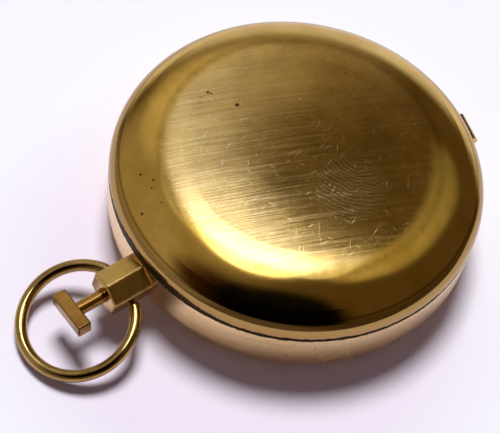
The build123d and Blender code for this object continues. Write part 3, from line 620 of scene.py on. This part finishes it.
# Polish: a near mirror on the shoulder, duller towards the crown's rubbed edge, in the nicks and in the seam's
# painted shade.
wear_inner, wear_outer = 7 * mm, 16 * mm
crown_polish, hairline_dulling = 0.04, 0.2
shoulder_gloss = add(tree, "ShaderNodeMapRange", {"Value": cloud, "To Min": 0.08, "To Max": 0.13}).outputs["Result"]
crown_wear = add(
    tree,
    "ShaderNodeMapRange",
    {"Value": radius, "From Min": wear_inner, "From Max": wear_outer, "To Min": 0.0, "To Max": 0.13},
).outputs["Result"]
crown_dull = add(
    tree, "ShaderNodeMath", {0: crown_wear, 1: rubbed, 2: crown_polish}, operation="MULTIPLY_ADD"
).outputs["Value"]
crown_gloss = add(
    tree, "ShaderNodeMath", {0: hairline, 1: hairline_dulling, 2: crown_dull}, operation="MULTIPLY_ADD"
).outputs["Value"]
gloss = add(
    tree, "ShaderNodeMix", {"Factor": crown, "A": shoulder_gloss, "B": crown_gloss}, data_type="FLOAT"
).outputs["Result"]
for dull_mark, dulling in ((nicked, 0.12), (seam_shade, 0.4)):
    gloss = add(tree, "ShaderNodeMath", {0: dull_mark, 1: dulling, 2: gloss}, operation="MULTIPLY_ADD").outputs["Value"]
tree.links.new(gloss, shader.inputs["Roughness"])

# Relief: grain, hairlines, ridges and nicks on the crown, and the lathe's rings inside.
grain_size, spin_ring, scratch_depth = 0.3 * mm, 0.3 * mm, 0.02 * mm
grain = add(tree, "ShaderNodeTexNoise", {"Vector": place, "Scale": 1 / grain_size, "Detail": 2.0}).outputs["Fac"]
lift = add(tree, "ShaderNodeMath", {0: hairline, 1: rubbed}, operation="MULTIPLY").outputs["Value"]
for raised, share in ((grain, 0.1), (printed, 0.55), (nicks, 0.12)):
    lift = add(tree, "ShaderNodeMath", {0: raised, 1: share, 2: lift}, operation="MULTIPLY_ADD").outputs["Value"]
crown_lift = add(tree, "ShaderNodeMath", {0: lift, 1: crown}, operation="MULTIPLY").outputs["Value"]
spin_rings = add(
    tree, "ShaderNodeTexNoise", {"W": radius, "Scale": 1 / spin_ring, "Detail": 2.0}, noise_dimensions="1D"
).outputs["Fac"]
surface = add(
    tree, "ShaderNodeMix", {"Factor": outside, "A": spin_rings, "B": crown_lift}, data_type="FLOAT"
).outputs["Result"]
scratch_relief = add(tree, "ShaderNodeBump", {"Height": surface, "Distance": scratch_depth, "Strength": 0.6})
tree.links.new(scratch_relief.outputs["Normal"], shader.inputs["Normal"])
dress(scratched_brass, "lid")

# Hinge knuckles: short lengths of brass tube, soldered to the case and the lid in turn.
# Fine lines from the buffing wheel run up and over the tube, and the brass is a bright plain gold.
tube_brass = handled_brass("tube_brass", "D0A45C", "B98C48", (0.12 * mm, 0.12 * mm, 3 * mm))
dress(tube_brass, "body_knuckles", "lid_knuckle")

# Pendant: a length of hexagonal brass bar, fixed by a tenon in the case wall.
# Draw lines run along its flats, and its corners are rubbed round and bright.
pendant_corner = 0.6 * mm
along_pendant = (0.14 * mm, 6 * mm, 0.14 * mm)
bar_brass = handled_brass(
    "bar_brass", "CFA862", "B58E4E", along_pendant, gloss=(0.16, 0.26), edge=pendant_corner
)
dress(bar_brass, "pendant")

# Plunger: a round brass rod that slides in the pendant, with a cross bar pressed on its end for the thumb.
# It is browner and darker than the case, its darkness painted shade for the shaded table that the bar's front
# mirrors, with lines along the rod and crisp edges on the bar.
bar_corner = 0.12 * mm
rod_brass = handled_brass(
    "rod_brass", "A87C3E", "855C2B", along_pendant, gloss=(0.12, 0.2), edge=bar_corner
)
dress(rod_brass, "plunger_rod", "plunger_bar")

# Bow: a ring of round brass wire whose turned-down ends swing in the pendant.
# The wire is smooth and polished by wear, so it shows bright lines along it between dark ones.
wire_brass = handled_brass("wire_brass", "B8985E", "987A48", (2 * mm, 2 * mm, 0.2 * mm), gloss=(0.06, 0.13))
dress(wire_brass, "bow_ring")

# Table: a sheet of matt white card that the compass lies on, lavender near the compass and white further off.
# It isn't part of the compass. It lies a hair under the case's back, so that the two faces don't meet.
table_half = 3.0
table_drop = 0.05 * mm
card_fibre = 0.4 * mm
tint_middle, tint_inner, tint_outer = (-7 * mm, 12 * mm, 0), 25 * mm, 39 * mm
table_mesh = bpy.data.meshes.new("table")
corners = np.array([(-1, -1, 0), (1, -1, 0), (1, 1, 0), (-1, 1, 0)]) * table_half - (0, 0, table_drop)
table_mesh.from_pydata(corners.tolist(), [], [(0, 1, 2, 3)])
table = bpy.data.objects.new("table", table_mesh)
scene.collection.objects.link(table)
white_card, tree, shader, place = open_material("white_card")
fibre = add(tree, "ShaderNodeTexNoise", {"Vector": place, "Scale": 1 / card_fibre, "Detail": 3.0}).outputs["Fac"]
from_middle = add(tree, "ShaderNodeVectorMath", {0: place, 1: tint_middle}, operation="DISTANCE").outputs["Value"]
clean = add(tree, "ShaderNodeMapRange", {"Value": from_middle, "From Min": tint_inner, "From Max": tint_outer})
near_tone = add(tree, "ShaderNodeMixRGB", {"Fac": fibre, "Color1": srgb("F0E8F6"), "Color2": srgb("EBE2F1")})
card_tone = add(
    tree,
    "ShaderNodeMixRGB",
    {"Fac": clean.outputs["Result"], "Color1": near_tone.outputs["Color"], "Color2": srgb("F6F7FE")},
)
tree.links.new(card_tone.outputs["Color"], shader.inputs["Base Color"])
shader.inputs["Roughness"].default_value = 0.9
shader.inputs["Specular IOR Level"].default_value = 0.1
table.data.materials.append(white_card)

# Camera: stands on the pendant's side, looks down on the case and leans a little.
# Its turn, rise, roll and distance come from the ellipse of the case's seam.
view_turn = math.radians(134.4)
view_rise = math.radians(56.99)
view_roll = math.radians(10.94)
view_distance = 198.02 * mm
view_side = -6.291 * mm
view_up = -5.724 * mm
focal_pixels = 1491.0
frame_width = 500
near = Vector((math.cos(view_turn), math.sin(view_turn), 0))
up = Vector((0, 0, 1))
right = up.cross(near)
back = near * math.cos(view_rise) + up * math.sin(view_rise)
level_up = back.cross(right)
view_right = right * math.cos(view_roll) + level_up * math.sin(view_roll)
view_top = level_up * math.cos(view_roll) - right * math.sin(view_roll)
lens = bpy.data.cameras.new("camera")
lens.sensor_width = 36.0
lens.lens = focal_pixels / frame_width * lens.sensor_width
lens.clip_start = 0.01
camera = bpy.data.objects.new("camera", lens)
stand = up * seam_height + back * view_distance + view_right * view_side + view_top * view_up
camera.matrix_world = Matrix.Translation(stand) @ Matrix((view_right, view_top, back)).transposed().to_4x4()
scene.collection.objects.link(camera)
scene.camera = camera

# Light: a broad soft lamp overhead, in a room whose left side is pale, whose right side is brown and whose camera
# side is dark. The lamp is set up in parts: the disc that the metal mirrors, a wing on its right, two fainter discs
# that soften its edge, the light that falls on the table and casts shadows, and a wide one through the glass.


def room_way(from_zenith, turn):
    """Direction at an angle from straight up, turned from the camera's side towards the right (degrees)."""
    level = near * math.cos(math.radians(turn)) + right * math.sin(math.radians(turn))
    return level * math.sin(math.radians(from_zenith)) + up * math.cos(math.radians(from_zenith))


# Each lamp: name, strength, tint, breadth in degrees, place in the room, and the kinds of ray that don't see it.
daylight = "E7F1FF"
for name, energy, tint, breadth, spot, unseen in (
    ("mirrored_lamp", 0.86, daylight, 26.0, (9.9, -149.5), ("diffuse",)),
    ("mirrored_wing", 0.14, daylight, 19.0, (11.8, 139.0), ("diffuse",)),
    ("mirrored_edge", 0.19, daylight, 26.0, (17.2, -144.5), ("diffuse",)),
    ("mirrored_haze", 0.09, daylight, 30.0, (25.8, -144.5), ("diffuse",)),
    ("falling_light", 3.2, "FFFFFF", 21.0, (23.5, -168.7), ("glossy", "transmission")),
    ("light_through_glass", 1.5, "FFF8EC", 120.0, (20.0, -150.0), ("diffuse", "glossy")),
):
    sun = bpy.data.lights.new(name, "SUN")
    sun.energy = energy
    sun.color = srgb(tint)[:3]
    sun.angle = math.radians(breadth)
    lamp = bpy.data.objects.new(name, sun)
    lamp.rotation_mode = "QUATERNION"
    lamp.rotation_quaternion = room_way(*spot).to_track_quat("Z", "Y")
    for ray in unseen:
        setattr(lamp, f"visible_{ray}", False)
    scene.collection.objects.link(lamp)

# Each patch of the room is a soft-edged disc of the sky: angle from the zenith, turn from the camera's side to the
# right, radius of the full tone, radius where it ends (all in degrees) and tone. Later ones lie over earlier ones.
patches = [
    (58, -80, 25, 62, "B3ADA4"),
    (66, -168, 8, 32, "A69F95"),
    (155, 180, 68, 81, "EAF2FF"),
    (52, -152.5, 8, 25, "DDDACC"),
    (51, 135, 4, 14, "938E74"),
    (46, 130, 4, 13, "9D987C"),
    (41, 124, 4, 13, "A8A285"),
    (36, 118, 4, 12, "B4AE8E"),
    (31, 113, 4, 12, "C0B998"),
    (25, 110, 3, 11, "C8C1A0"),
    (20, 107, 3, 10, "CEC8A8"),
    (38, -34, 12, 26, "3A200C"),
    (40, -10, 17, 27, "20140C"),
    (38, 4, 21, 28, "060505"),
    (46, 14, 17, 26, "040404"),
    (90, 0, 18, 36, "7C7064"),
]
room_tone = srgb("5E5038")
world = bpy.data.worlds.new("room")
scene.world = world
world.use_nodes = True
tree = world.node_tree
tree.nodes.clear()
way = add(tree, "ShaderNodeTexCoord").outputs["Generated"]
for from_zenith, turn, core, rim, tone in patches:
    towards = add(
        tree, "ShaderNodeVectorMath", {0: way, 1: room_way(from_zenith, turn)}, operation="DOT_PRODUCT"
    ).outputs["Value"]
    share = add(
        tree,
        "ShaderNodeMapRange",
        {"Value": towards, "From Min": math.cos(math.radians(rim)), "From Max": math.cos(math.radians(core))},
        interpolation_type="SMOOTHSTEP",
    ).outputs["Result"]
    room_tone = add(
        tree, "ShaderNodeMixRGB", {"Fac": share, "Color1": room_tone, "Color2": srgb(tone)}
    ).outputs["Color"]
glow = add(tree, "ShaderNodeBackground", {"Color": room_tone, "Strength": 1.0}).outputs["Background"]

# Surfaces that are not mirrors get the room's mean light, a dim lavender, which is what fills the shadows.
fill = add(tree, "ShaderNodeBackground", {"Color": srgb("564C58"), "Strength": 1.0}).outputs["Background"]
spread = add(tree, "ShaderNodeLightPath").outputs["Is Diffuse Ray"]
room = add(tree, "ShaderNodeMixShader", {0: spread, 1: glow, 2: fill}).outputs["Shader"]
add(tree, "ShaderNodeOutputWorld", {"Surface": room})
scene.view_settings.view_transform = "Standard"
